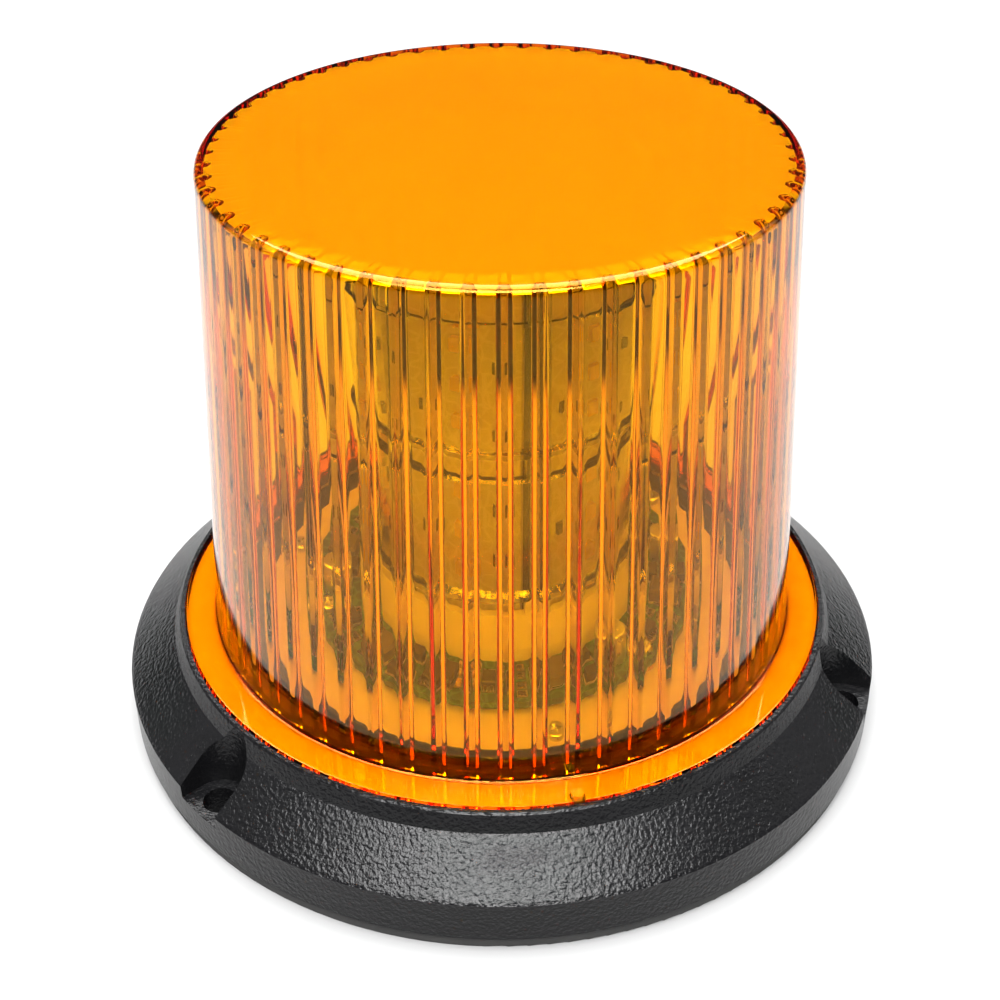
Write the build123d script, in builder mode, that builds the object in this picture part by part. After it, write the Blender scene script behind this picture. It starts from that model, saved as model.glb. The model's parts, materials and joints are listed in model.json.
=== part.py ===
from build123d import *
import math
import os

# An amber LED warning beacon: ribbed lens drum on a low black base, with a six-sided
# LED tower on a round circuit board inside. Millimetres, +Z up, standing on Z = 0.

# Base and its foot gasket
BASE_RADIUS = 81.5
GASKET_THICKNESS = 2.5
GASKET_RADIUS = 80.8
GASKET_BORE_RADIUS = 57.0
BASE_EDGE_Z = 12.6
LIP_FOOT_RADIUS = 71.3
LIP_FOOT_Z = 20.4
LIP_TOP_RADIUS = 69.8
LIP_TOP_Z = 24.2
LENS_SEAT_Z = 20.5
LENS_RECESS_RADIUS = 68.8
CHANNEL_OUTER_RADIUS = 60.3
CHANNEL_FLOOR_Z = 16.0
RING_WALL_OUTER = 54.5
RING_WALL_INNER = 52.0
RING_WALL_TOP = 24.0
LEDGE_RADIUS = 49.5
CAVITY_FLOOR_Z = 5.5

# Mounting: three bolts in pockets that open outwards
MOUNT_CIRCLE_RADIUS = 76.2
MOUNT_HOLE_RADIUS = 3.4
MOUNT_COUNT = 3
MOUNT_START_ANGLE = -17.65
POCKET_RADIUS = 5.8
POCKET_FLOOR_Z = 9.2
POCKET_DRAFT = 2.5

# Amber lens
LENS_TOP_Z = 125.6
LENS_TOP_RADIUS = 55.9
LENS_FOOT_RADIUS = 61.9
LENS_WALL = 1.8
LENS_ROOF = 1.8
RIM_ROUND = 1.8
FLANGE_RADIUS = 68.4
FLANGE_TOP_Z = 24.5
FLANGE_BOTTOM_Z = 21.5
RIB_COUNT = 60
RIB_START_ANGLE = 0.6
RIB_HEIGHT = 0.9
RIB_ROOT_HALF_ANGLE = 1.45
RIB_TIP_HALF_ANGLE = 0.55
RIB_OVERLAP = 0.5

# Lens fixing, between the mounting pockets
LENS_SCREW_CIRCLE = 65.7
LENS_SCREW_START_ANGLE = -77.65
LENS_SCREW_WELL_RADIUS = 4.0
LENS_SCREW_WELL_TOP = 14.0
LENS_SCREW_CLEARANCE_RADIUS = 1.5
LENS_SCREW_HOLE_DEPTH = 2.2
SEAL_INNER_RADIUS = 60.6
SEAL_OUTER_RADIUS = 68.2

# Plate and round board
PLATE_RADIUS = 51.7
PLATE_BOTTOM_Z = 21.5
PLATE_TOP_Z = 23.5
PLATE_SCREW_CIRCLE = 48.0
PLATE_BOSS_RADIUS = 3.4
PLATE_BOSS_HOLE_DEPTH = 10.0
PCB_RADIUS = 42.0
PCB_BOTTOM_Z = 25.5
PCB_TOP_Z = 27.1
PCB_SCREW_CIRCLE = 38.5
SPACER_RADIUS = 3.0
WIRE_HOLE_RADIUS = 6.0

# Small screws: plain shanks in bores a hair wider, or in loose clearance holes
SCREW_COUNT = 3
SHANK_RADIUS = 1.2
BORE_RADIUS = 1.25
CLEARANCE_RADIUS = 1.4

# Angles of the soldered parts; most kinds repeat in every sixth of the board
PARTS_CIRCLE = 35.6
CAN_RADIUS = 3.2
CAN_HEIGHT = 7.5
DRIVER_ANGLE = -94.0
RESISTOR_ANGLE = -84.5
INDUCTOR_ANGLE = -73.0
DIODE_ANGLE = -62.0
CAPACITOR_ANGLE = -52.0
PCB_SCREW_ANGLE = -42.5
CHIP_CAPACITOR_ANGLE = -102.5
CONTROLLER_ANGLE = -110.0
TERMINAL_Y = 10.0
TERMINAL_DEPTH = 5.0

# LED tower
SIDES = 6
TOWER_START_ANGLE = 13.0
BOARD_INNER = 22.0
BOARD_THICKNESS = 1.6
BOARD_WIDTH = 22.0
BOARD_TOP_Z = 119.2
TAB_WIDTH = 11.6
TAB_TOP_Z = 122.0
CORE_APOTHEM = 21.9
CORE_WALL = 3.0
CORE_DECK = 3.0
CORE_BOSS_RADIUS = 3.0
CORE_BOSS_HEIGHT = 12.0
CORE_BOSS_HOLE_DEPTH = 9.0
CAP_BOSS_RADIUS = 3.5
CAP_BOSS_HEIGHT = 10.0
TOWER_SCREW_CIRCLE = 14.0
CAP_RADIUS = 28.4
CAP_TOP_Z = 121.4
SLOT_LENGTH = 12.3
SLOT_WIDTH = 2.6
CAP_GROOVE_RADIUS = 8.5
CAP_GROOVE_WIDTH = 0.8
CAP_SCREW_HEAD_RADIUS = 2.6
CAP_SCREW_HEAD_HEIGHT = 1.4
FOOT_RADIUS = 29.6
FOOT_TOP_Z = 38.0
OPTIC_INNER = 26.6
OPTIC_OUTER = 28.4
OPTIC_BEAD = 29.4
LOWER_OPTIC_Z = (42.0, 70.5)
UPPER_OPTIC_Z = (76.0, 108.0)
LEG_DEPTH = 1.4
LEG_WIDTH = 3.4
LED_SIZE = 3.5
LED_HEIGHT = 1.3
UPPER_LED_HEIGHTS = (83.0, 92.5, 102.0)
LOWER_LED_HEIGHTS = (47.0, 56.5, 66.0)

# Wire outlet in the middle of the base
GROMMET_HOLE_RADIUS = 6.5
GROMMET_BORE_RADIUS = 3.1
GROMMET_BOTTOM_Z = 0.6
GROMMET_TOP_Z = 7.5
GROMMET_FLANGE_RADIUS = 9.2
GROMMET_HEAD_RADIUS = 8.8

os.makedirs("parts", exist_ok=True)


def save(piece, name):
    """Label one finished piece and write it to its own file."""
    piece.label = name
    export_step(piece, f"parts/{name}.step")


def lens_outer_radius(z):
    """Outside radius of the tapered lens wall at height z."""
    share = (z - FLANGE_TOP_Z) / (LENS_TOP_Z - FLANGE_TOP_Z)
    return LENS_FOOT_RADIUS + (LENS_TOP_RADIUS - LENS_FOOT_RADIUS) * share


def side_plane(index, distance):
    """Upright plane that faces out of one side of the tower; local Y is up."""
    angle = math.radians(TOWER_START_ANGLE + 360 / SIDES * index)
    out = (math.cos(angle), math.sin(angle), 0)
    across = (-math.sin(angle), math.cos(angle), 0)
    return Plane(origin=(distance * out[0], distance * out[1], 0), x_dir=across, z_dir=out)


def side_hexagon(apothem, mode=Mode.ADD):
    """Hexagon whose flats face the six sides of the tower."""
    corner_angle = TOWER_START_ANGLE + 180 / SIDES
    return RegularPolygon(apothem, SIDES, major_radius=False, rotation=corner_angle, mode=mode)


def pan_screws(circle, start_angle, seat_z, side, head, length):
    """Three pan-head screws on a circle; side is +1 with the heads above their seat, -1 below."""
    head_radius, head_height = head
    slot_length = head_radius * 1.1
    slot_width = head_radius * 0.28
    with BuildPart() as screws:
        with BuildSketch(Plane.XY.offset(seat_z)):
            with PolarLocations(circle, SCREW_COUNT, start_angle):
                Circle(head_radius)
        extrude(amount=side * head_height)
        crown = screws.edges().group_by(Axis.Z)[-1 if side > 0 else 0]
        fillet(crown, head_height * 0.45)
        with BuildSketch(Plane.XY.offset(seat_z)):
            with PolarLocations(circle, SCREW_COUNT, start_angle):
                Circle(SHANK_RADIUS)
        extrude(amount=-side * length)
        with BuildSketch(Plane.XY.offset(seat_z + side * head_height)):
            with PolarLocations(circle, SCREW_COUNT, start_angle):
                Rectangle(slot_length, slot_width)
                Rectangle(slot_width, slot_length)
        extrude(amount=-side * head_height * 0.55, mode=Mode.SUBTRACT)
    return screws.part


# ---- base housing ----
with BuildPart() as base_housing:
    with BuildSketch(Plane.XZ):
        with BuildLine():
            Polyline(
                (0, GASKET_THICKNESS),
                (BASE_RADIUS - 0.6, GASKET_THICKNESS),
                (BASE_RADIUS, GASKET_THICKNESS + 0.6),
                (BASE_RADIUS, BASE_EDGE_Z - 0.5),
                (BASE_RADIUS - 0.5, BASE_EDGE_Z),
                (LIP_FOOT_RADIUS, LIP_FOOT_Z),
                (LIP_TOP_RADIUS + 0.2, LIP_TOP_Z - 0.4),
                (LIP_TOP_RADIUS - 0.2, LIP_TOP_Z),
                (LENS_RECESS_RADIUS, LIP_TOP_Z),
                (LENS_RECESS_RADIUS, LENS_SEAT_Z),
                (CHANNEL_OUTER_RADIUS, LENS_SEAT_Z),
                (CHANNEL_OUTER_RADIUS, CHANNEL_FLOOR_Z),
                (RING_WALL_OUTER, CHANNEL_FLOOR_Z),
                (RING_WALL_OUTER, RING_WALL_TOP - 0.5),
                (RING_WALL_OUTER - 0.5, RING_WALL_TOP),
                (RING_WALL_INNER, RING_WALL_TOP),
                (RING_WALL_INNER, PLATE_BOTTOM_Z),
                (LEDGE_RADIUS, PLATE_BOTTOM_Z),
                (LEDGE_RADIUS, CAVITY_FLOOR_Z),
                (0, CAVITY_FLOOR_Z),
                close=True,
            )
        make_face()
    revolve(axis=Axis.Z)
    # bosses under the plate screws
    with BuildSketch(Plane.XY.offset(CAVITY_FLOOR_Z)):
        with PolarLocations(PLATE_SCREW_CIRCLE, SCREW_COUNT, LENS_SCREW_START_ANGLE):
            Circle(PLATE_BOSS_RADIUS)
    extrude(amount=PLATE_BOTTOM_Z - CAVITY_FLOOR_Z)
    with BuildSketch(Plane.XY.offset(PLATE_BOTTOM_Z)):
        with PolarLocations(PLATE_SCREW_CIRCLE, SCREW_COUNT, LENS_SCREW_START_ANGLE):
            Circle(BORE_RADIUS)
    extrude(amount=-PLATE_BOSS_HOLE_DEPTH, mode=Mode.SUBTRACT)
    # wire outlet hole
    with BuildSketch(Plane.XY.offset(GASKET_THICKNESS)):
        Circle(GROMMET_HOLE_RADIUS)
    extrude(amount=CAVITY_FLOOR_Z - GASKET_THICKNESS, mode=Mode.SUBTRACT)
    # screw wells and through holes for the lens screws
    with BuildSketch(Plane.XY.offset(GASKET_THICKNESS)):
        with PolarLocations(LENS_SCREW_CIRCLE, SCREW_COUNT, LENS_SCREW_START_ANGLE):
            Circle(LENS_SCREW_WELL_RADIUS)
    extrude(amount=LENS_SCREW_WELL_TOP - GASKET_THICKNESS, mode=Mode.SUBTRACT)
    with BuildSketch(Plane.XY.offset(LENS_SCREW_WELL_TOP)):
        with PolarLocations(LENS_SCREW_CIRCLE, SCREW_COUNT, LENS_SCREW_START_ANGLE):
            Circle(LENS_SCREW_CLEARANCE_RADIUS)
    extrude(amount=LENS_SEAT_Z - LENS_SCREW_WELL_TOP, mode=Mode.SUBTRACT)
    # mounting pockets, open outwards, and their bolt holes
    with BuildSketch(Plane.XY.offset(POCKET_FLOOR_Z)):
        with PolarLocations(MOUNT_CIRCLE_RADIUS, MOUNT_COUNT, MOUNT_START_ANGLE):
            Circle(POCKET_RADIUS)
            with Locations((POCKET_RADIUS, 0)):
                Rectangle(2 * POCKET_RADIUS, 2 * POCKET_RADIUS)
    extrude(amount=LENS_TOP_Z, taper=-POCKET_DRAFT, mode=Mode.SUBTRACT)
    with BuildSketch(Plane.XY.offset(GASKET_THICKNESS)):
        with PolarLocations(MOUNT_CIRCLE_RADIUS, MOUNT_COUNT, MOUNT_START_ANGLE):
            Circle(MOUNT_HOLE_RADIUS)
    extrude(amount=POCKET_FLOOR_Z - GASKET_THICKNESS, mode=Mode.SUBTRACT)
save(base_housing.part, "base_housing")

# ---- rubber gasket under the base ----
with BuildPart() as mounting_gasket:
    with BuildSketch():
        Circle(GASKET_RADIUS)
        Circle(GASKET_BORE_RADIUS, mode=Mode.SUBTRACT)
        with PolarLocations(MOUNT_CIRCLE_RADIUS, MOUNT_COUNT, MOUNT_START_ANGLE):
            Circle(MOUNT_HOLE_RADIUS, mode=Mode.SUBTRACT)
        with PolarLocations(LENS_SCREW_CIRCLE, SCREW_COUNT, LENS_SCREW_START_ANGLE):
            Circle(LENS_SCREW_WELL_RADIUS, mode=Mode.SUBTRACT)
    extrude(amount=GASKET_THICKNESS)
    outer_rim = mounting_gasket.faces().sort_by(Axis.Z)[0].outer_wire().edges()
    fillet(outer_rim, 0.5)
save(mounting_gasket.part, "mounting_gasket")

# ---- wire grommet in the middle of the base ----
with BuildPart() as cable_grommet:
    with BuildSketch(Plane.XZ):
        with BuildLine():
            Polyline(
                (GROMMET_BORE_RADIUS, GROMMET_BOTTOM_Z),
                (GROMMET_FLANGE_RADIUS - 0.6, GROMMET_BOTTOM_Z),
                (GROMMET_FLANGE_RADIUS, GROMMET_BOTTOM_Z + 0.6),
                (GROMMET_FLANGE_RADIUS, GASKET_THICKNESS),
                (GROMMET_HOLE_RADIUS - 0.1, GASKET_THICKNESS),
                (GROMMET_HOLE_RADIUS - 0.1, CAVITY_FLOOR_Z),
                (GROMMET_HEAD_RADIUS, CAVITY_FLOOR_Z),
                (GROMMET_HEAD_RADIUS - 0.6, GROMMET_TOP_Z),
                (GROMMET_BORE_RADIUS, GROMMET_TOP_Z),
                close=True,
            )
        make_face()
    revolve(axis=Axis.Z)
save(cable_grommet.part, "cable_grommet")

# ---- amber lens: drum with a flange, closed top and internal ribs ----
ROOF_UNDERSIDE_Z = LENS_TOP_Z - LENS_ROOF
RIB_FOOT_Z = FLANGE_TOP_Z - 0.5


def rib_section(z):
    """Corner points of one rib's section at height z, seen from above."""
    root = lens_outer_radius(z) - LENS_WALL
    buried = root + RIB_OVERLAP
    tip = root - RIB_HEIGHT
    root_angle = math.radians(RIB_ROOT_HALF_ANGLE)
    tip_angle = math.radians(RIB_TIP_HALF_ANGLE)
    return [
        (buried, -root * math.sin(root_angle)),
        (root * math.cos(root_angle), -root * math.sin(root_angle)),
        (tip * math.cos(tip_angle), -tip * math.sin(tip_angle)),
        (tip * math.cos(tip_angle), tip * math.sin(tip_angle)),
        (root * math.cos(root_angle), root * math.sin(root_angle)),
        (buried, root * math.sin(root_angle)),
    ]


with BuildPart() as lens_rib:
    for rib_z in (RIB_FOOT_Z, ROOF_UNDERSIDE_Z + RIB_OVERLAP):
        with BuildSketch(Plane.XY.offset(rib_z)):
            with BuildLine():
                Polyline(*rib_section(rib_z), close=True)
            make_face()
    loft()

with BuildPart() as dome_lens:
    with BuildSketch(Plane.XZ):
        with BuildLine():
            outer_top = lens_outer_radius(LENS_TOP_Z)
            inner_top = lens_outer_radius(ROOF_UNDERSIDE_Z) - LENS_WALL
            Polyline(
                (CHANNEL_OUTER_RADIUS, FLANGE_BOTTOM_Z),
                (FLANGE_RADIUS - 0.2, FLANGE_BOTTOM_Z),
                (FLANGE_RADIUS, FLANGE_BOTTOM_Z + 0.2),
                (FLANGE_RADIUS, FLANGE_TOP_Z - 0.2),
                (FLANGE_RADIUS - 0.2, FLANGE_TOP_Z),
                (LENS_FOOT_RADIUS, FLANGE_TOP_Z),
                (outer_top, LENS_TOP_Z),
                (0, LENS_TOP_Z),
                (0, ROOF_UNDERSIDE_Z),
                (inner_top, ROOF_UNDERSIDE_Z),
                (LENS_FOOT_RADIUS - LENS_WALL, FLANGE_TOP_Z),
                close=True,
            )
        make_face()
    revolve(axis=Axis.Z)
    fillet(dome_lens.edges().group_by(Axis.Z)[-1], RIM_ROUND)
    with PolarLocations(0, RIB_COUNT, RIB_START_ANGLE):
        add(lens_rib.part)
    # blind holes for the lens screws
    with BuildSketch(Plane.XY.offset(FLANGE_BOTTOM_Z)):
        with PolarLocations(LENS_SCREW_CIRCLE, SCREW_COUNT, LENS_SCREW_START_ANGLE):
            Circle(BORE_RADIUS)
    extrude(amount=LENS_SCREW_HOLE_DEPTH, mode=Mode.SUBTRACT)
save(dome_lens.part, "dome_lens")

# ---- pale ring seal under the whole lens flange, pierced by the lens screws ----
with BuildPart() as lens_seal:
    with BuildSketch(Plane.XY.offset(LENS_SEAT_Z)):
        Circle(SEAL_OUTER_RADIUS)
        Circle(SEAL_INNER_RADIUS, mode=Mode.SUBTRACT)
        with PolarLocations(LENS_SCREW_CIRCLE, SCREW_COUNT, LENS_SCREW_START_ANGLE):
            Circle(LENS_SCREW_CLEARANCE_RADIUS, mode=Mode.SUBTRACT)
    extrude(amount=FLANGE_BOTTOM_Z - LENS_SEAT_Z)
save(lens_seal.part, "lens_seal")

save(
    pan_screws(LENS_SCREW_CIRCLE, LENS_SCREW_START_ANGLE, LENS_SCREW_WELL_TOP, -1, (2.8, 2.0), 9.4),
    "lens_screws",
)

# ---- pale plate that carries the board ----
with BuildPart() as chassis_plate:
    with BuildSketch(Plane.XY.offset(PLATE_BOTTOM_Z)):
        Circle(PLATE_RADIUS)
        Circle(WIRE_HOLE_RADIUS, mode=Mode.SUBTRACT)
        with PolarLocations(PLATE_SCREW_CIRCLE, SCREW_COUNT, LENS_SCREW_START_ANGLE):
            Circle(CLEARANCE_RADIUS, mode=Mode.SUBTRACT)
        with PolarLocations(PCB_SCREW_CIRCLE, SCREW_COUNT, PCB_SCREW_ANGLE):
            Circle(BORE_RADIUS, mode=Mode.SUBTRACT)
    extrude(amount=PLATE_TOP_Z - PLATE_BOTTOM_Z)
    plate_rim = chassis_plate.faces().sort_by(Axis.Z)[-1].outer_wire().edges()
    fillet(plate_rim, 0.4)
save(chassis_plate.part, "chassis_plate")
save(
    pan_screws(PLATE_SCREW_CIRCLE, LENS_SCREW_START_ANGLE, PLATE_TOP_Z, 1, (2.4, 1.4), 8.0),
    "chassis_screws",
)

# ---- round circuit board, its spacers and screws ----
with BuildPart() as main_pcb:
    with BuildSketch(Plane.XY.offset(PCB_BOTTOM_Z)):
        Circle(PCB_RADIUS)
        Circle(WIRE_HOLE_RADIUS, mode=Mode.SUBTRACT)
        with PolarLocations(PCB_SCREW_CIRCLE, SCREW_COUNT, PCB_SCREW_ANGLE):
            Circle(CLEARANCE_RADIUS, mode=Mode.SUBTRACT)
        with PolarLocations(TOWER_SCREW_CIRCLE, SCREW_COUNT, TOWER_START_ANGLE):
            Circle(CLEARANCE_RADIUS, mode=Mode.SUBTRACT)
    extrude(amount=PCB_TOP_Z - PCB_BOTTOM_Z)
save(main_pcb.part, "main_pcb")

with BuildPart() as pcb_spacers:
    with BuildSketch(Plane.XY.offset(PLATE_TOP_Z)):
        with PolarLocations(PCB_SCREW_CIRCLE, SCREW_COUNT, PCB_SCREW_ANGLE):
            Circle(SPACER_RADIUS)
            Circle(CLEARANCE_RADIUS, mode=Mode.SUBTRACT)
    extrude(amount=PCB_BOTTOM_Z - PLATE_TOP_Z)
save(pcb_spacers.part, "pcb_spacers")
save(
    pan_screws(PCB_SCREW_CIRCLE, PCB_SCREW_ANGLE, PCB_TOP_Z, 1, (2.4, 1.5), 5.0),
    "pcb_screws",
)


# ---- parts soldered to the round board ----
def soldered_blocks(places, size, bevel):
    """Equal rectangular parts standing on the board; places are (radius, count, angle)."""
    length, width, height = size
    with BuildPart() as blocks:
        with BuildSketch(Plane.XY.offset(PCB_TOP_Z)):
            for radius, count, start_angle in places:
                with PolarLocations(radius, count, start_angle):
                    Rectangle(length, width)
        extrude(amount=height)
        chamfer(blocks.edges().group_by(Axis.Z)[-1], bevel)
    return blocks.part


def leaded_chips(place, size, lead_count, lead_pitch, lead_reach):
    """Chip packages with a row of leads along both long sides."""
    radius, count, start_angle = place
    length, width, height = size
    lead_width = 0.45
    stand_off = 0.3
    with BuildPart() as chips:
        with BuildSketch(Plane.XY.offset(PCB_TOP_Z + stand_off)):
            with PolarLocations(radius, count, start_angle):
                Rectangle(length, width)
        extrude(amount=height - stand_off)
        chamfer(chips.edges().group_by(Axis.Z)[-1], 0.25)
        with BuildSketch(Plane.XY.offset(PCB_TOP_Z)):
            with PolarLocations(radius, count, start_angle):
                with GridLocations(0, lead_pitch, 1, lead_count):
                    Rectangle(length + 2 * lead_reach, lead_width)
        extrude(amount=2 * stand_off)
    return chips.part


controller_place = (PARTS_CIRCLE, 1, CONTROLLER_ANGLE)
save(leaded_chips(controller_place, (6.0, 6.0, 1.6), 8, 0.7, 0.8), "controller_chip")
driver_places = (PARTS_CIRCLE, SIDES, DRIVER_ANGLE)
save(leaded_chips(driver_places, (3.9, 4.9, 1.5), 4, 1.27, 1.0), "driver_chips")
inductor_places = [(PARTS_CIRCLE, SIDES, INDUCTOR_ANGLE)]
save(soldered_blocks(inductor_places, (6.2, 6.2, 3.0), 0.6), "power_inductors")
diode_places = [(r, SIDES, DIODE_ANGLE) for r in (32.6, 38.6)]
save(soldered_blocks(diode_places, (2.6, 4.4, 2.2), 0.25), "power_diodes")
resistor_places = [(r, SIDES, RESISTOR_ANGLE) for r in (31.8, 34.2, 37.2, 39.6)]
save(soldered_blocks(resistor_places, (0.9, 1.7, 0.55), 0.1), "chip_resistors")
chip_capacitor_places = [(r, 3, CHIP_CAPACITOR_ANGLE) for r in (31.8, 34.6, 37.4)]
save(soldered_blocks(chip_capacitor_places, (1.3, 2.0, 1.1), 0.15), "chip_capacitors")

with BuildPart() as filter_capacitors:
    with BuildSketch(Plane.XY.offset(PCB_TOP_Z)):
        # the sixth place is the controller's
        with PolarLocations(PARTS_CIRCLE, SIDES - 1, CAPACITOR_ANGLE, angular_range=300):
            Circle(CAN_RADIUS)
    extrude(amount=CAN_HEIGHT)
    fillet(filter_capacitors.edges().group_by(Axis.Z)[-1], 0.6)
save(filter_capacitors.part, "filter_capacitors")

# screw terminal for the supply wires, on the board inside the tower
with BuildPart() as wire_terminal:
    with BuildSketch(Plane.XY.offset(PCB_TOP_Z)):
        with Locations((0, TERMINAL_Y)):
            Rectangle(9.0, TERMINAL_DEPTH)
    extrude(amount=7.0)
    with BuildSketch(Plane.XZ.offset(TERMINAL_DEPTH / 2 - TERMINAL_Y)):
        with Locations((-2.2, PCB_TOP_Z + 2.5), (2.2, PCB_TOP_Z + 2.5)):
            Circle(1.2)
    extrude(amount=-3.5, mode=Mode.SUBTRACT)
save(wire_terminal.part, "wire_terminal")

# ---- LED tower: core, boards, emitters ----
with BuildPart() as tower_core:
    with BuildSketch(Plane.XY.offset(PCB_TOP_Z)):
        side_hexagon(CORE_APOTHEM)
        side_hexagon(CORE_APOTHEM - CORE_WALL, Mode.SUBTRACT)
    extrude(amount=BOARD_TOP_Z - PCB_TOP_Z)
    with BuildSketch(Plane.XY.offset(BOARD_TOP_Z)):
        side_hexagon(CORE_APOTHEM)
    extrude(amount=-CORE_DECK)
    # bosses and webs for the screws that come up through the board
    with BuildSketch(Plane.XY.offset(PCB_TOP_Z)):
        with PolarLocations(TOWER_SCREW_CIRCLE, SCREW_COUNT, TOWER_START_ANGLE):
            Circle(CORE_BOSS_RADIUS)
            with Locations((4.0, 0)):
                Rectangle(2 * CORE_BOSS_RADIUS, 2.0)
    extrude(amount=CORE_BOSS_HEIGHT)
    with BuildSketch(Plane.XY.offset(PCB_TOP_Z)):
        with PolarLocations(TOWER_SCREW_CIRCLE, SCREW_COUNT, TOWER_START_ANGLE):
            Circle(BORE_RADIUS)
    extrude(amount=CORE_BOSS_HOLE_DEPTH, mode=Mode.SUBTRACT)
    # boss for the cap screw
    with BuildSketch(Plane.XY.offset(BOARD_TOP_Z)):
        Circle(CAP_BOSS_RADIUS)
    extrude(amount=-CAP_BOSS_HEIGHT)
    with BuildSketch(Plane.XY.offset(BOARD_TOP_Z)):
        Circle(BORE_RADIUS)
    extrude(amount=1.0 - CAP_BOSS_HEIGHT, mode=Mode.SUBTRACT)
save(tower_core.part, "tower_core")
save(
    pan_screws(TOWER_SCREW_CIRCLE, TOWER_START_ANGLE, PCB_BOTTOM_Z, -1, (2.4, 1.5), 9.0),
    "tower_screws",
)

for side in range(SIDES):
    with BuildPart() as led_board:
        with BuildSketch(side_plane(side, BOARD_INNER)):
            with Locations((0, (PCB_TOP_Z + BOARD_TOP_Z) / 2)):
                Rectangle(BOARD_WIDTH, BOARD_TOP_Z - PCB_TOP_Z)
            with Locations((0, (BOARD_TOP_Z + TAB_TOP_Z) / 2)):
                Rectangle(TAB_WIDTH, TAB_TOP_Z - BOARD_TOP_Z)
        extrude(amount=BOARD_THICKNESS)
    save(led_board.part, f"led_board_{side + 1}")


def board_parts(places, size, rounding):
    """Equal parts on the outer face of every upright board; local X is across, Y is up."""
    width, tall, thick = size
    with BuildPart() as pieces:
        for index in range(SIDES):
            with BuildSketch(side_plane(index, BOARD_INNER + BOARD_THICKNESS)):
                with Locations(*places):
                    Rectangle(width, tall)
                if rounding:
                    fillet(vertices(), rounding)
            extrude(amount=thick)
    return pieces.part


def led_column(heights):
    """Emitters one above another in the middle of a board."""
    return board_parts([(0, height) for height in heights], (LED_SIZE, LED_SIZE, LED_HEIGHT), 0.5)


save(led_column(UPPER_LED_HEIGHTS), "upper_leds")
save(led_column(LOWER_LED_HEIGHTS), "lower_leds")
board_resistor_places = [(7.0, z) for z in (80.0, 97.0, 50.0, 62.0)] + [(-7.0, z) for z in (86.0, 56.0)]
save(board_parts(board_resistor_places, (1.7, 2.6, 0.7), 0), "led_board_resistors")


# ---- clear optic rings ----
def tower_legs(bottom_z, top_z):
    """Six short legs at the tower's corners, added to the part being built."""
    with BuildSketch(Plane.XY.offset(bottom_z)) as leg_feet:
        with PolarLocations((OPTIC_INNER + OPTIC_OUTER) / 2, SIDES, TOWER_START_ANGLE + 180 / SIDES):
            Rectangle(LEG_DEPTH, LEG_WIDTH)
    extrude(leg_feet.sketch, amount=top_z - bottom_z)


def optic_ring(bottom_z, top_z, leg_top_z):
    """Clear ring round one tier, with a bead at its foot and six legs up to what sits on it."""
    with BuildPart() as ring:
        with BuildSketch(Plane.XZ):
            with BuildLine():
                Polyline(
                    (OPTIC_INNER, bottom_z),
                    (OPTIC_BEAD, bottom_z),
                    (OPTIC_BEAD, bottom_z + 1.2),
                    (OPTIC_OUTER, bottom_z + 2.2),
                    (OPTIC_OUTER, top_z - 0.6),
                    (OPTIC_OUTER - 0.6, top_z),
                    (OPTIC_INNER, top_z),
                    close=True,
                )
            make_face()
        revolve(axis=Axis.Z)
        tower_legs(top_z - 1.0, leg_top_z)
    return ring.part


save(optic_ring(*LOWER_OPTIC_Z, UPPER_OPTIC_Z[0]), "lower_optic")
save(optic_ring(*UPPER_OPTIC_Z, BOARD_TOP_Z), "upper_optic")

# ---- pale skirt at the tower's foot ----
with BuildPart() as tower_foot:
    with BuildSketch(Plane.XZ):
        with BuildLine():
            Polyline(
                (OPTIC_INNER, PCB_TOP_Z),
                (FOOT_RADIUS, PCB_TOP_Z),
                (FOOT_RADIUS, PCB_TOP_Z + 3.0),
                (OPTIC_OUTER, FOOT_TOP_Z),
                (OPTIC_INNER, FOOT_TOP_Z),
                close=True,
            )
        make_face()
    revolve(axis=Axis.Z)
    tower_legs(FOOT_TOP_Z - 1.0, LOWER_OPTIC_Z[0])
save(tower_foot.part, "tower_foot")

# ---- cap that locates the board tabs ----
with BuildPart() as tower_cap:
    with BuildSketch(Plane.XY.offset(BOARD_TOP_Z)):
        Circle(CAP_RADIUS)
        Circle(CLEARANCE_RADIUS, mode=Mode.SUBTRACT)
        with PolarLocations(BOARD_INNER + BOARD_THICKNESS / 2, SIDES, TOWER_START_ANGLE):
            Rectangle(SLOT_WIDTH, SLOT_LENGTH, mode=Mode.SUBTRACT)
    extrude(amount=CAP_TOP_Z - BOARD_TOP_Z)
    cap_rim = tower_cap.faces().sort_by(Axis.Z)[-1].outer_wire().edges()
    fillet(cap_rim, 0.6)
    with BuildSketch(Plane.XY.offset(CAP_TOP_Z)):
        Circle(CAP_GROOVE_RADIUS + CAP_GROOVE_WIDTH)
        Circle(CAP_GROOVE_RADIUS, mode=Mode.SUBTRACT)
    extrude(amount=-0.4, mode=Mode.SUBTRACT)
save(tower_cap.part, "tower_cap")

with BuildPart() as tower_cap_screw:
    with BuildSketch(Plane.XY.offset(CAP_TOP_Z)):
        Circle(CAP_SCREW_HEAD_RADIUS)
    extrude(amount=CAP_SCREW_HEAD_HEIGHT)
    fillet(tower_cap_screw.edges().group_by(Axis.Z)[-1], 0.6)
    with BuildSketch(Plane.XY.offset(CAP_TOP_Z)):
        Circle(SHANK_RADIUS)
    extrude(amount=-10.0)
    with BuildSketch(Plane.XY.offset(CAP_TOP_Z + CAP_SCREW_HEAD_HEIGHT)):
        Rectangle(2.9, 0.7)
        Rectangle(0.7, 2.9)
    extrude(amount=-0.8, mode=Mode.SUBTRACT)
save(tower_cap_screw.part, "tower_cap_screw")
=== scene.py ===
import json
import math

import bmesh
import bpy
from mathutils import Matrix, Vector


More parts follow.
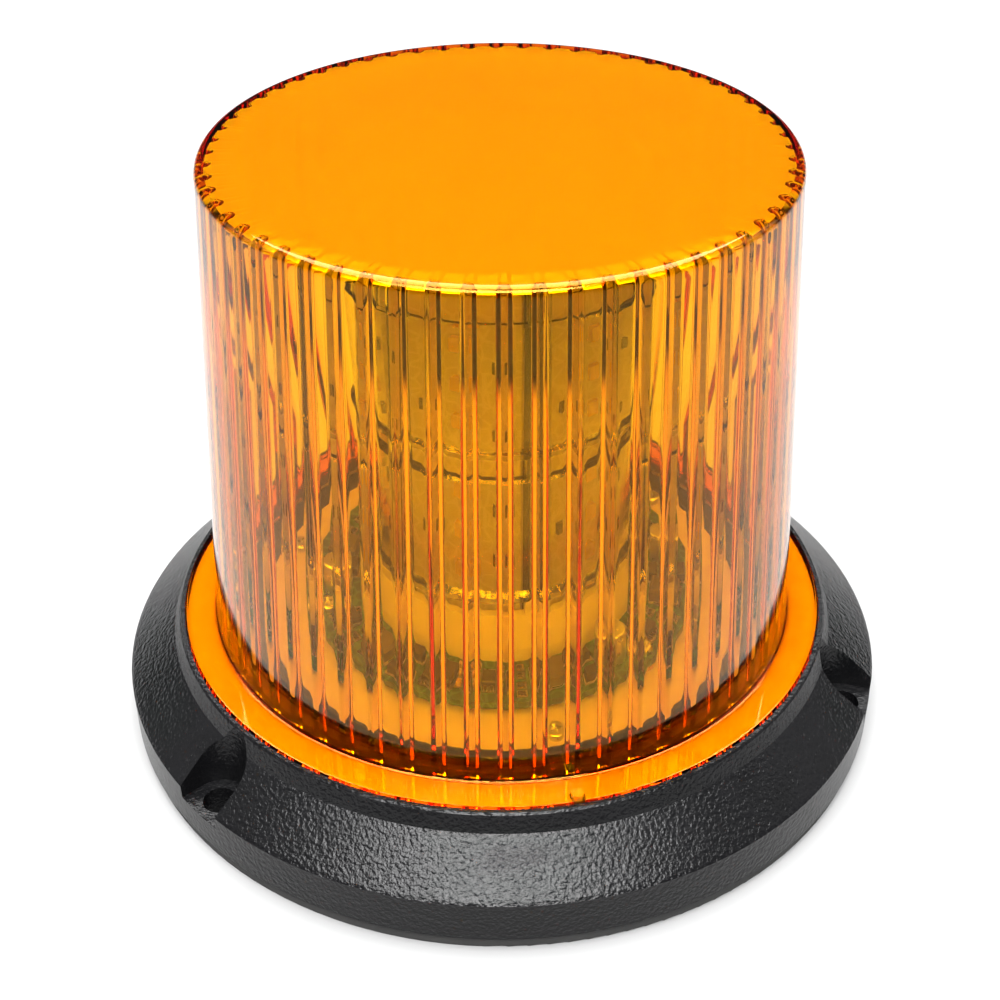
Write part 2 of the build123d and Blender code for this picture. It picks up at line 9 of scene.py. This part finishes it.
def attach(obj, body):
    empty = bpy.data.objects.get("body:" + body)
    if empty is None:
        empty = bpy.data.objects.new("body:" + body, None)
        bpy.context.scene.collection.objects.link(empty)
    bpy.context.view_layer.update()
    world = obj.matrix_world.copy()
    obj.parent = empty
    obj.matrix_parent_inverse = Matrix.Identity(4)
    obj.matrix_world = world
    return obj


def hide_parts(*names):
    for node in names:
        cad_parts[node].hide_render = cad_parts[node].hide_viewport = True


MM = 0.001

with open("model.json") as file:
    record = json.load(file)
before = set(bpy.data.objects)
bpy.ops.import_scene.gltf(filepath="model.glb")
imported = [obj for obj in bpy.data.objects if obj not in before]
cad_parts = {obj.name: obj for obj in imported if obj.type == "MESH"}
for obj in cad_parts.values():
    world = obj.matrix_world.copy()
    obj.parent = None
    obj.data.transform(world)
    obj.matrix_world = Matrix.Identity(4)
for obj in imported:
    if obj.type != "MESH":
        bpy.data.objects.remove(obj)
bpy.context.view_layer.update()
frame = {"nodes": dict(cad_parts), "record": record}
nodes = frame["nodes"]


# ---------------------------------------------------------------- small helpers
SHARP_ANGLE = 30


def link(data, name):
    """Object made from a mesh, camera or light, linked to the scene."""
    thing = bpy.data.objects.new(name, data)
    bpy.context.scene.collection.objects.link(thing)
    return thing


def paint(thing, material):
    """Give a whole object one material."""
    thing.data.materials.clear()
    thing.data.materials.append(material)
    for face in thing.data.polygons:
        face.material_index = 0


def smooth(mesh, angle=SHARP_ANGLE):
    """Smooth shading, with edges sharper than the angle, in degrees, kept hard."""
    mesh.shade_smooth()
    mesh.set_sharp_from_angle(angle=math.radians(angle))


def closed_mesh(name, vertices, faces):
    """Mesh whose faces all point outwards."""
    mesh = bpy.data.meshes.new(name)
    mesh.from_pydata(vertices, [], faces)
    mesh.validate()
    shape = bmesh.new()
    shape.from_mesh(mesh)
    bmesh.ops.recalc_face_normals(shape, faces=shape.faces)
    shape.to_mesh(mesh)
    shape.free()
    return mesh


class Shader:
    """A material's nodes, with short calls for the few kinds used here."""

    def __init__(self, name):
        self.material = bpy.data.materials.new(name)
        self.material.use_nodes = True
        self.nodes = self.material.node_tree.nodes
        self.links = self.material.node_tree.links
        self.nodes.clear()
        self.output = self.nodes.new("ShaderNodeOutputMaterial")
        self.surface = self.nodes.new("ShaderNodeBsdfPrincipled")
        self.links.new(self.surface.outputs["BSDF"], self.output.inputs["Surface"])
        self.coords = self.nodes.new("ShaderNodeTexCoord").outputs["Object"]

    def set(self, **values):
        """Principled sockets by name, with underscores for spaces."""
        for key, value in values.items():
            self.surface.inputs[key.replace("_", " ")].default_value = value
        return self

    def noise(self, size, detail=2.0):
        """Noise whose features are about `size` metres across."""
        texture = self.nodes.new("ShaderNodeTexNoise")
        texture.inputs["Scale"].default_value = 1 / size
        texture.inputs["Detail"].default_value = detail
        self.links.new(self.coords, texture.inputs["Vector"])
        return texture.outputs["Fac"]

    def cell_edges(self, size):
        """Distance to the edge of Voronoi cells about `size` metres across."""
        texture = self.nodes.new("ShaderNodeTexVoronoi")
        texture.feature = "DISTANCE_TO_EDGE"
        texture.inputs["Scale"].default_value = 1 / size
        self.links.new(self.coords, texture.inputs["Vector"])
        return texture.outputs["Distance"]

    def remap(self, value, low, high, to_low, to_high):
        """Linear remap of a value, clamped."""
        node = self.nodes.new("ShaderNodeMapRange")
        node.inputs["From Min"].default_value = low
        node.inputs["From Max"].default_value = high
        node.inputs["To Min"].default_value = to_low
        node.inputs["To Max"].default_value = to_high
        self.links.new(value, node.inputs["Value"])
        return node.outputs["Result"]

    def blend(self, factor, first, second):
        """Colour between two colours by a factor."""
        node = self.nodes.new("ShaderNodeMix")
        node.data_type = "RGBA"
        self.links.new(factor, node.inputs["Factor"])
        for socket, colour in (("A", first), ("B", second)):
            port = next(p for p in node.inputs if p.name == socket and p.type == "RGBA")
            port.default_value = (*colour, 1.0)
        return next(p for p in node.outputs if p.type == "RGBA")

    def feed(self, socket, value):
        """Drive one Principled socket."""
        self.links.new(value, self.surface.inputs[socket])

    def bump(self, height, relief, strength):
        """Bump from a height value; relief is its depth in metres."""
        node = self.nodes.new("ShaderNodeBump")
        node.inputs["Strength"].default_value = strength
        node.inputs["Distance"].default_value = relief
        self.links.new(height, node.inputs["Height"])
        self.links.new(node.outputs["Normal"], self.surface.inputs["Normal"])


# ---------------------------------------------------------------- camera and light
CAMERA_TARGET = Vector((-0.25, 0.0, 45.9)) * MM
CAMERA_DISTANCE = 346.9 * MM
CAMERA_ELEVATION = 35.21
CAMERA_ROLL = -0.27
CAMERA_LENS = 58.9
CAMERA_SENSOR = 36.0
CAMERA_CLIP_START = 0.01

FLOOR_SIZE = 6.0
FLOOR_MOTTLE = 0.4
FLOOR_DARK = (0.24, 0.24, 0.24)
FLOOR_LIGHT = (0.255, 0.255, 0.255)
ROOM_STRENGTH = 0.03
LIGHT_BOUNCES = 24

BEACON_MIDDLE = (0.0, 0.0, 0.06)
# name, place, width and depth, watts, point it faces; all lengths in metres
SOFTBOXES = (
    ("softbox_top", (0.0, 0.30, 1.0), (1.4, 1.0), 56.0, (0.0, 0.30, 0.0)),
    ("softbox_front", (-0.05, -0.42, 0.62), (0.7, 0.3), 11.5, (0.0, -0.25, 0.0)),
    ("softbox_fill", (0.0, -0.75, 0.95), (0.9, 0.4), 14.0, BEACON_MIDDLE),
    ("softbox_left", (-0.9, 0.1, 0.45), (0.6, 0.5), 0.6, BEACON_MIDDLE),
    ("softbox_right", (0.9, 0.1, 0.45), (0.6, 0.5), 0.8, BEACON_MIDDLE),
)


def make_camera():
    """Camera in front of the beacon, looking down on it."""
    elevation = math.radians(CAMERA_ELEVATION)
    back = Vector((0, -math.cos(elevation), math.sin(elevation)))
    data = bpy.data.cameras.new("camera")
    data.lens = CAMERA_LENS
    data.sensor_width = CAMERA_SENSOR
    data.clip_start = CAMERA_CLIP_START
    camera = link(data, "camera")
    aim = (-back).to_track_quat("-Z", "Y").to_matrix().to_4x4()
    roll = Matrix.Rotation(math.radians(CAMERA_ROLL), 4, "Z")
    camera.matrix_world = Matrix.Translation(CAMERA_TARGET + back * CAMERA_DISTANCE) @ aim @ roll
    bpy.context.scene.camera = camera


def make_softbox(name, place, size, watts, aim):
    """Rectangular light that faces one point."""
    data = bpy.data.lights.new(name, "AREA")
    data.shape = "RECTANGLE"
    data.size, data.size_y = size
    data.energy = watts
    light = link(data, name)
    light.location = place
    light.rotation_mode = "QUATERNION"
    light.rotation_quaternion = (Vector(aim) - Vector(place)).to_track_quat("-Z", "Y")


def make_studio():
    """Plain pale floor, a dim room and soft lights."""
    floor_mesh = bpy.data.meshes.new("floor")
    half = FLOOR_SIZE / 2
    corners = [(-half, -half, 0), (half, -half, 0), (half, half, 0), (-half, half, 0)]
    floor_mesh.from_pydata(corners, [], [(0, 1, 2, 3)])
    floor = link(floor_mesh, "floor")
    paper = Shader("floor_paper").set(Roughness=0.9)
    paper.feed("Base Color", paper.blend(paper.noise(FLOOR_MOTTLE), FLOOR_DARK, FLOOR_LIGHT))
    paint(floor, paper.material)

    world = bpy.data.worlds.new("room")
    world.use_nodes = True
    background = world.node_tree.nodes["Background"]
    background.inputs["Color"].default_value = (1, 1, 1, 1)
    background.inputs["Strength"].default_value = ROOM_STRENGTH
    bpy.context.scene.world = world
    for softbox in SOFTBOXES:
        make_softbox(*softbox)
    bpy.context.scene.view_settings.view_transform = "Standard"
    bpy.context.scene.cycles.use_denoising = True
    bpy.context.scene.cycles.max_bounces = LIGHT_BOUNCES
    bpy.context.scene.cycles.transmission_bounces = LIGHT_BOUNCES


# ---------------------------------------------------------------- amber lens, all lengths in mm
LENS_TOP_Z = 125.6
LENS_TOP_RADIUS = 55.9
LENS_FOOT_RADIUS = 61.9
LENS_WALL = 1.8
LENS_ROOF = 1.8
LENS_SHARP_ANGLE = 28

RIM_ROUND = 1.8
RIM_STEPS = 8
FOOT_ROUND = 0.8
FOOT_STEPS = 4

FLANGE_INNER = 60.3
FLANGE_RADIUS = 68.4
FLANGE_BOTTOM_Z = 21.55  # a hairline above the seal, so that the two faces don't coincide
FLANGE_TOP_Z = 24.5
FLANGE_EDGE = 0.2
FLANGE_EDGE_BULGE = 0.3  # share of the edge's cut left at its middle, which rounds it

RIB_COUNT = 60
RIB_CENTRE = 0.6
RIB_HEIGHT = 0.9
RIB_FOOT_Z = 24.0
# half a rib and half the panel beside it: degrees from the rib's centre, share of its height
RIB_HALF = (
    (0.0, 1.0), (0.46, 1.0), (0.54, 0.98), (0.62, 0.92), (1.00, 0.5), (1.38, 0.08),
    (1.46, 0.02), (1.56, 0.0), (2.20, 0.0),
)

# rings that only divide a flat or straight stretch
ROOF_OUTSIDE_RADII = (15.0, 35.0)
ROOF_INSIDE_RADII = (48.0, 30.0, 12.0)
WALL_HEIGHTS = (95.0, 60.0)
# how far from a round its neighbouring ring lies
ROOF_LEAD = 0.3
WALL_LEAD_AT_RIM = 1.0
WALL_LEAD_AT_FOOT = 0.5
FLANGE_LEAD = 0.3
# inside corner between wall and roof
CORNER_LEAD = 0.6
CORNER_CUT = 0.2
CORNER_INSET = 0.7
CORNER_RIB_LOSS = 0.1

ROOF_MIN_FACING = 0.9
ROOF_TOLERANCE = 0.1

AMBER_COLOUR = (0.999, 0.933, 0.0, 1.0)
AMBER_DENSITY = 3000.0
AMBER_IOR = 1.58


def lens_outer(z):
    """Outside radius of the tapered wall, in mm."""
    share = (z - FLANGE_TOP_Z) / (LENS_TOP_Z - FLANGE_TOP_Z)
    return LENS_FOOT_RADIUS + (LENS_TOP_RADIUS - LENS_FOOT_RADIUS) * share


def lens_inner(z):
    """Inside radius of the tapered wall between the ribs, in mm."""
    return lens_outer(z) - LENS_WALL


def rib_samples():
    """(angle, share of rib height) all the way round the lens."""
    right = list(RIB_HALF)
    left = [(-angle, share) for angle, share in reversed(right[1:])]
    period = [(-180 / RIB_COUNT, 0.0)] + left + right
    return [
        (math.radians(RIB_CENTRE + 360 / RIB_COUNT * k + angle), share)
        for k in range(RIB_COUNT)
        for angle, share in period
    ]


def lens_rings():
    """(radius, height, rib height) of each ring, from the roof's outside round to its inside."""
    turn = math.atan2(LENS_FOOT_RADIUS - LENS_TOP_RADIUS, LENS_TOP_Z - FLANGE_TOP_Z)
    rim_z = LENS_TOP_Z - RIM_ROUND
    rim_r = lens_outer(rim_z) - RIM_ROUND / math.cos(turn)
    rings = [(r, LENS_TOP_Z, 0) for r in (*ROOF_OUTSIDE_RADII, rim_r - ROOF_LEAD)]
    # rim round
    for k in range(RIM_STEPS + 1):
        angle = math.pi / 2 + (turn - math.pi / 2) * k / RIM_STEPS
        rings.append((rim_r + RIM_ROUND * math.cos(angle), rim_z + RIM_ROUND * math.sin(angle), 0))
    foot_z = FLANGE_TOP_Z + FOOT_ROUND
    foot_r = lens_outer(foot_z) + FOOT_ROUND
    for z in (rim_z - WALL_LEAD_AT_RIM, *WALL_HEIGHTS, foot_z + WALL_LEAD_AT_FOOT):
        rings.append((lens_outer(z), z, 0))
    # fillet between wall and flange
    for k in range(FOOT_STEPS + 1):
        angle = math.pi + math.pi / 2 * k / FOOT_STEPS
        rings.append((foot_r + FOOT_ROUND * math.cos(angle), foot_z + FOOT_ROUND * math.sin(angle), 0))
    # flange, from its top over the edge to its underside
    bulge = FLANGE_EDGE_BULGE * FLANGE_EDGE
    rings += [
        (foot_r + FLANGE_LEAD, FLANGE_TOP_Z, 0),
        (FLANGE_RADIUS - 2 * FLANGE_EDGE, FLANGE_TOP_Z, 0),
        (FLANGE_RADIUS - FLANGE_EDGE, FLANGE_TOP_Z, 0),
        (FLANGE_RADIUS - bulge, FLANGE_TOP_Z - bulge, 0),
        (FLANGE_RADIUS, FLANGE_TOP_Z - FLANGE_EDGE, 0),
        (FLANGE_RADIUS, FLANGE_BOTTOM_Z + FLANGE_EDGE, 0),
        (FLANGE_RADIUS - FLANGE_EDGE, FLANGE_BOTTOM_Z, 0),
        (FLANGE_INNER, FLANGE_BOTTOM_Z, 0),
        (lens_inner(RIB_FOOT_Z), RIB_FOOT_Z, 0),
    ]
    # ribbed inside of the wall
    roof_z = LENS_TOP_Z - LENS_ROOF
    for z in (RIB_FOOT_Z, *reversed(WALL_HEIGHTS), roof_z - CORNER_LEAD):
        rings.append((lens_inner(z), z, RIB_HEIGHT))
    rings.append((lens_inner(roof_z) - CORNER_CUT, roof_z - CORNER_CUT, RIB_HEIGHT))
    rings.append((lens_inner(roof_z) - CORNER_INSET, roof_z, RIB_HEIGHT - CORNER_RIB_LOSS))
    rings += [(r, roof_z, 0) for r in ROOF_INSIDE_RADII]
    return rings


def make_lens():
    """Drum with a smooth outside and ribs inside, as one closed mesh."""
    samples = rib_samples()
    rings = lens_rings()
    vertices = [(0, 0, rings[0][1] * MM)]
    for radius, z, rib in rings:
        for angle, share in samples:
            r = (radius - rib * share) * MM
            vertices.append((r * math.cos(angle), r * math.sin(angle), z * MM))
    vertices.append((0, 0, rings[-1][1] * MM))
    count = len(samples)
    faces = []
    for k in range(count):
        after = (k + 1) % count
        faces.append((0, 1 + k, 1 + after))
        for ring in range(len(rings) - 1):
            here, there = 1 + ring * count, 1 + (ring + 1) * count
            faces.append((here + k, there + k, there + after, here + after))
        last = 1 + (len(rings) - 1) * count
        faces.append((len(vertices) - 1, last + after, last + k))
    mesh = closed_mesh("lens_shell", vertices, faces)
    smooth(mesh, LENS_SHARP_ANGLE)
    mesh.materials.append(MATERIALS["amber_lens"])
    mesh.materials.append(amber_material("amber_frosted_roof", roughness=0.10, clear=0.62))
    roof = (LENS_TOP_Z - LENS_ROOF) * MM
    for face in mesh.polygons:
        if face.normal.z < -ROOF_MIN_FACING and abs(face.center.z - roof) < ROOF_TOLERANCE * MM:
            face.material_index = 1
    lens = link(mesh, "lens_shell")
    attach(lens, "root")
    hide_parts("dome_lens")


# ---------------------------------------------------------------- materials
def absorb(amber):
    """Tint that deepens with the thickness of the plastic."""
    depth = amber.nodes.new("ShaderNodeVolumeAbsorption")
    depth.inputs["Color"].default_value = AMBER_COLOUR
    depth.inputs["Density"].default_value = AMBER_DENSITY
    amber.links.new(depth.outputs["Volume"], amber.output.inputs["Volume"])


def amber_material(name, roughness, clear):
    """Amber polycarbonate, tinted by its depth; clear is the share that isn't scattered."""
    amber = Shader(name).set(
        Base_Color=(1.0, 0.96, 0.85, 1), Roughness=roughness, IOR=AMBER_IOR, Transmission_Weight=clear,
        Specular_Tint=(1.0, 0.55, 0.1, 1),
    )
    amber.bump(amber.noise(14 * MM, detail=1.0), relief=0.05 * MM, strength=0.25)
    absorb(amber)
    return amber.material


def base_material():
    """Black powder coat with a fine pebbled skin."""
    coat = Shader("black_powder_coat").set(Roughness=0.26, IOR=1.45, Specular_IOR_Level=0.25)
    pebbles = coat.noise(0.8 * MM)
    tone = coat.blend(coat.noise(6 * MM), (0.002, 0.002, 0.0022), (0.004, 0.004, 0.0045))
    coat.feed("Base Color", tone)
    coat.bump(pebbles, relief=0.26 * MM, strength=1.0)
    return coat.material


def rubber_material(name):
    """Dull black rubber with a moulded bloom."""
    rubber = Shader(name).set(Roughness=0.75)
    bloom = rubber.blend(rubber.noise(9 * MM), (0.012, 0.012, 0.012), (0.028, 0.027, 0.026))
    rubber.feed("Base Color", bloom)
    rubber.bump(rubber.noise(0.6 * MM), relief=0.05 * MM, strength=0.6)
    return rubber.material


COLOUR_PATCH = 6  # size of a colour patch and of a gloss patch, in grains
GLOSS_PATCH = 3
GLOSS_SPREAD = 0.15
SPECKLE_RELIEF = 0.02


def speckled(name, dark, light, grain, roughness, **more):
    """Moulded or coated surface whose colour, gloss and relief vary a little; grain is in mm."""
    size = grain * MM
    skin = Shader(name).set(**more)
    skin.feed("Base Color", skin.blend(skin.noise(size * COLOUR_PATCH, detail=4.0), dark, light))
    dull, shiny = roughness * (1 - GLOSS_SPREAD), roughness * (1 + GLOSS_SPREAD)
    skin.feed("Roughness", skin.remap(skin.noise(size * GLOSS_PATCH), 0.3, 0.7, dull, shiny))
    skin.bump(skin.noise(size), relief=SPECKLE_RELIEF * MM, strength=0.5)
    return skin.material


TRACK_CELL = 3.2
TRACK_EDGE = (0.06, 0.10)


def board_material(name, mask, copper):
    """Solder mask over faint copper tracks."""
    board = Shader(name).set(Roughness=0.32)
    tracks = board.remap(board.cell_edges(TRACK_CELL * MM), *TRACK_EDGE, 1.0, 0.0)
    board.feed("Base Color", board.blend(tracks, mask, copper))
    board.bump(tracks, relief=0.03 * MM, strength=0.6)
    return board.material


METAL = {"Metallic": 1.0}
CLEAR = {"Transmission_Weight": 1.0, "IOR": 1.49}
# slot: darker colour, lighter colour, grain in mm, roughness, other sockets
SPECKLED_SLOTS = {
    "seal_silicone": ((0.50, 0.46, 0.38), (0.72, 0.70, 0.64), 1.2, 0.40, {}),
    "plate_white": ((0.76, 0.76, 0.74), (0.86, 0.86, 0.84), 1.5, 0.45, {}),
    "core_black": ((0.02, 0.02, 0.02), (0.04, 0.04, 0.04), 0.5, 0.40, {}),
    "tower_white": ((0.74, 0.73, 0.70), (0.82, 0.81, 0.78), 1.0, 0.40, {}),
    "optic_clear": ((0.93, 0.93, 0.93), (0.98, 0.98, 0.98), 4.0, 0.06, CLEAR),
    "led_emitter": ((0.85, 0.62, 0.10), (0.95, 0.75, 0.20), 0.8, 0.30, {}),
    "chip_black": ((0.02, 0.02, 0.02), (0.05, 0.05, 0.05), 0.4, 0.50, {}),
    "inductor_grey": ((0.07, 0.07, 0.08), (0.14, 0.14, 0.15), 0.5, 0.55, {}),
    "ceramic_tan": ((0.42, 0.30, 0.18), (0.56, 0.42, 0.28), 0.5, 0.40, {}),
    "can_metal": ((0.62, 0.62, 0.63), (0.74, 0.74, 0.75), 0.7, 0.30, METAL),
    "terminal_green": ((0.03, 0.24, 0.08), (0.05, 0.32, 0.12), 0.8, 0.40, {}),
    "spacer_brass": ((0.62, 0.45, 0.18), (0.74, 0.56, 0.26), 0.6, 0.28, METAL),
    "screw_steel": ((0.55, 0.55, 0.56), (0.70, 0.70, 0.71), 0.5, 0.30, METAL),
}
MATERIALS = {
    "base_black": base_material(),
    "gasket_rubber": rubber_material("gasket_rubber"),
    "amber_lens": amber_material("amber_polycarbonate", roughness=0.02, clear=1.0),
    "pcb_green": board_material("pcb_green", mask=(0.02, 0.11, 0.035), copper=(0.05, 0.2, 0.07)),
    "board_white": board_material("board_white", mask=(0.74, 0.72, 0.68), copper=(0.82, 0.80, 0.77)),
}
for slot, (dark, light, grain, roughness, more) in SPECKLED_SLOTS.items():
    MATERIALS[slot] = speckled(slot, dark, light, grain, roughness, **more)


def paint_cad():
    """Each CAD node gets its slot's material and clean shading."""
    for part in frame["record"]["subparts"]:
        thing = nodes[part["node"]]
        paint(thing, MATERIALS[part["material_slot"]])
        smooth(thing.data)


# ---------------------------------------------------------------- printed outlines on the board
BOARD_TOP_Z = 27.1
PRINT_HEIGHT = 0.08
PRINT_WIDTH = 0.28
PRINT_MARGIN = 0.3
PRINT_TURN_STEP = 3
PRINTED_NODES = (
    "chip_resistors", "chip_capacitors", "power_diodes", "driver_chips", "controller_chip", "power_inductors",
)


def outlines_of(thing):
    """Each connected patch of a node's mesh, as its corners in mm seen from above.

    A CAD node's mesh is split along its face edges, so a patch is one face, not a whole component.
    """
    shape = bmesh.new()
    shape.from_mesh(thing.data)
    seen = set()
    groups = []
    for start in shape.verts:
        if start in seen:
            continue
        seen.add(start)
        queue, group = [start], []
        while queue:
            vertex = queue.pop()
            place = thing.matrix_world @ vertex.co
            group.append((place.x / MM, place.y / MM))
            for edge in vertex.link_edges:
                other = edge.other_vert(vertex)
                if other not in seen:
                    seen.add(other)
                    queue.append(other)
        groups.append(group)
    shape.free()
    return groups


def tightest_box(points):
    """(area, turn, low u, low v, high u, high v) of the smallest rectangle tried round the points."""
    boxes = []
    for degrees in range(0, 90, PRINT_TURN_STEP):
        turn = math.radians(degrees)
        across = [x * math.cos(turn) + y * math.sin(turn) for x, y in points]
        along = [y * math.cos(turn) - x * math.sin(turn) for x, y in points]
        low_u, high_u, low_v, high_v = min(across), max(across), min(along), max(along)
        boxes.append(((high_u - low_u) * (high_v - low_v), turn, low_u, low_v, high_u, high_v))
    return min(boxes)


def make_board_print():
    """Thin printed frames round the components on the board, one for each of their faces.

    The frames of one component overlap, and all their tops lie in one plane.
    """
    vertices, faces = [], []
    for name in PRINTED_NODES:
        for points in outlines_of(nodes[name]):
            _, turn, low_u, low_v, high_u, high_v = tightest_box(points)
            first = len(vertices)
            for z in (BOARD_TOP_Z, BOARD_TOP_Z + PRINT_HEIGHT):
                for grow in (PRINT_MARGIN, PRINT_MARGIN + PRINT_WIDTH):
                    for u, v in (
                        (low_u - grow, low_v - grow), (high_u + grow, low_v - grow),
                        (high_u + grow, high_v + grow), (low_u - grow, high_v + grow),
                    ):
                        x = u * math.cos(turn) - v * math.sin(turn)
                        y = u * math.sin(turn) + v * math.cos(turn)
                        vertices.append((x * MM, y * MM, z * MM))
            # rings of four corners: 0 inner low, 1 outer low, 2 inner high, 3 outer high
            for low, high in ((0, 1), (1, 3), (3, 2), (2, 0)):
                here, there = first + 4 * low, first + 4 * high
                for k in range(4):
                    after = (k + 1) % 4
                    faces.append((here + k, here + after, there + after, there + k))
    print_piece = link(closed_mesh("board_print", vertices, faces), "board_print")
    ink = speckled("printed_ink", (0.72, 0.72, 0.68), (0.86, 0.86, 0.82), grain=0.3, roughness=0.5)
    paint(print_piece, ink)
    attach(print_piece, "root")


make_camera()
make_studio()
paint_cad()
make_lens()
make_board_print()
